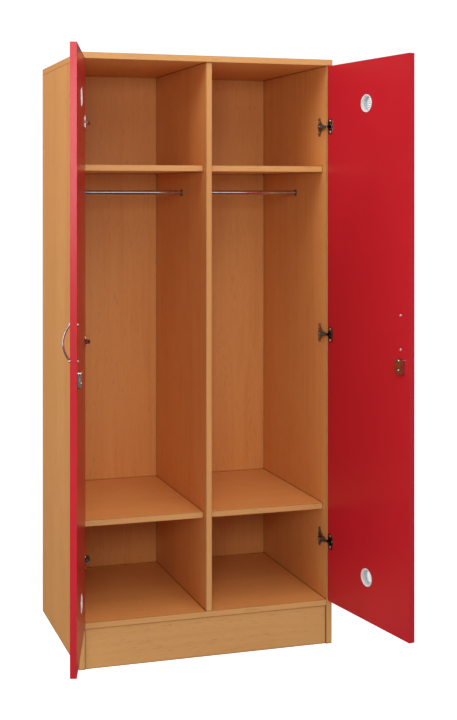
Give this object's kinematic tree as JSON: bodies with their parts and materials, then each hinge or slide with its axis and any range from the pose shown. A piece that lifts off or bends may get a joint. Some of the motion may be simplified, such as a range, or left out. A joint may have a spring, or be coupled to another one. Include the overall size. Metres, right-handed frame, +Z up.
{
  "type": "double cloakroom locker",
  "caption": "Tall beech-board locker with two compartments, each with shelves, a hanging rail and a vented, lockable red overlay door.",
  "frame": {"origin": "on the floor at the centre of the carcass footprint (doors not counted)", "axes": "+Z up, -Y towards the doors, +X to the right seen from the front"},
  "size_m": [1.0089, 0.9291, 1.8],
  "materials": {
    "beech_board": "satin",
    "back_board": "satin",
    "dowel_wood": "matte",
    "red_board": "satin",
    "chrome": "polished",
    "nickel": "satin",
    "screw_steel": "satin",
    "steel": "satin",
    "lock_case": "satin",
    "brass": "satin",
    "white_plastic": "satin"
  },
  "bodies": {
    "carcass": {"back_panel": "back_board", "carcass_dowels": "dowel_wood", "centre_divider": "beech_board", "centre_plinth_support": "beech_board", "floor_panel": "beech_board", "hinge_plate_screws": "screw_steel", "left_hanging_rail": "chrome", "left_lower_hinge_arm": "nickel", "left_lower_hinge_plate": "nickel", "left_lower_shelf": "beech_board", "left_middle_hinge_arm": "nickel", "left_middle_hinge_plate": "nickel", "left_side_panel": "beech_board", "left_upper_hinge_arm": "nickel", "left_upper_hinge_plate": "nickel", "left_upper_shelf": "beech_board", "plinth_board": "beech_board", "rail_end_sockets": "chrome", "rear_plinth_rail": "beech_board", "right_hanging_rail": "chrome", "right_lower_hinge_arm": "nickel", "right_lower_hinge_plate": "nickel", "right_lower_shelf": "beech_board", "right_middle_hinge_arm": "nickel", "right_middle_hinge_plate": "nickel", "right_side_panel": "beech_board", "right_upper_hinge_arm": "nickel", "right_upper_hinge_plate": "nickel", "right_upper_shelf": "beech_board", "top_panel": "beech_board"},
    "left_door": {"left_cup_screws": "screw_steel", "left_door_panel": "red_board", "left_handle": "chrome", "left_handle_screws": "screw_steel", "left_lock_case": "lock_case", "left_lock_screws": "screw_steel", "left_lower_hinge_cup": "nickel", "left_lower_vent_louvre": "white_plastic", "left_lower_vent_ring": "white_plastic", "left_middle_hinge_cup": "nickel", "left_upper_hinge_cup": "nickel", "left_upper_vent_louvre": "white_plastic", "left_upper_vent_ring": "white_plastic"},
    "right_door": {"right_cup_screws": "screw_steel", "right_door_panel": "red_board", "right_handle": "chrome", "right_handle_screws": "screw_steel", "right_lock_case": "lock_case", "right_lock_screws": "screw_steel", "right_lower_hinge_cup": "nickel", "right_lower_vent_louvre": "white_plastic", "right_lower_vent_ring": "white_plastic", "right_middle_hinge_cup": "nickel", "right_upper_hinge_cup": "nickel", "right_upper_vent_louvre": "white_plastic", "right_upper_vent_ring": "white_plastic"},
    "left_key_plug": {"left_lock_plug": "brass"},
    "right_key_plug": {"right_lock_plug": "brass"},
    "left_bolt": {"left_lock_bolt": "steel"},
    "right_bolt": {"right_lock_bolt": "steel"}
  },
  "joints": [
    {"name": "left_door_hinge", "type": "hinge", "parent": "carcass", "child": "left_door", "pos_m": [-0.3935, -0.276, 0.9575], "axis": [0, 0, -1], "range_deg": [-106.7, 3.3]},
    {"name": "right_door_hinge", "type": "hinge", "parent": "carcass", "child": "right_door", "pos_m": [0.3935, -0.276, 0.9575], "axis": [0, 0, 1], "range_deg": [-99.5, 10.5]},
    {"name": "left_key_turn", "type": "hinge", "parent": "left_door", "child": "left_key_plug", "pos_m": [-0.48675, -0.61813, 0.905], "axis": [-0.9578, 0.2874, 0], "range_deg": [0, 180]},
    {"name": "left_bolt_slide", "type": "slide", "parent": "left_door", "child": "left_bolt", "axis": [-0.2874, -0.9578, 0], "range_m": [0, 0.0181]},
    {"name": "right_key_turn", "type": "hinge", "parent": "right_door", "child": "right_key_plug", "pos_m": [0.44313, -0.62712, 0.905], "axis": [-0.9863, -0.165, 0], "range_deg": [0, 180]},
    {"name": "right_bolt_slide", "type": "slide", "parent": "right_door", "child": "right_bolt", "axis": [0.165, -0.9863, 0], "range_m": [0, 0.0181]}
  ],
  "couplings": [
    {"joint": "left_bolt_slide", "follows": "left_key_turn", "m_per_rad": 0.0057296},
    {"joint": "right_bolt_slide", "follows": "right_key_turn", "m_per_rad": 0.0057296}
  ]
}
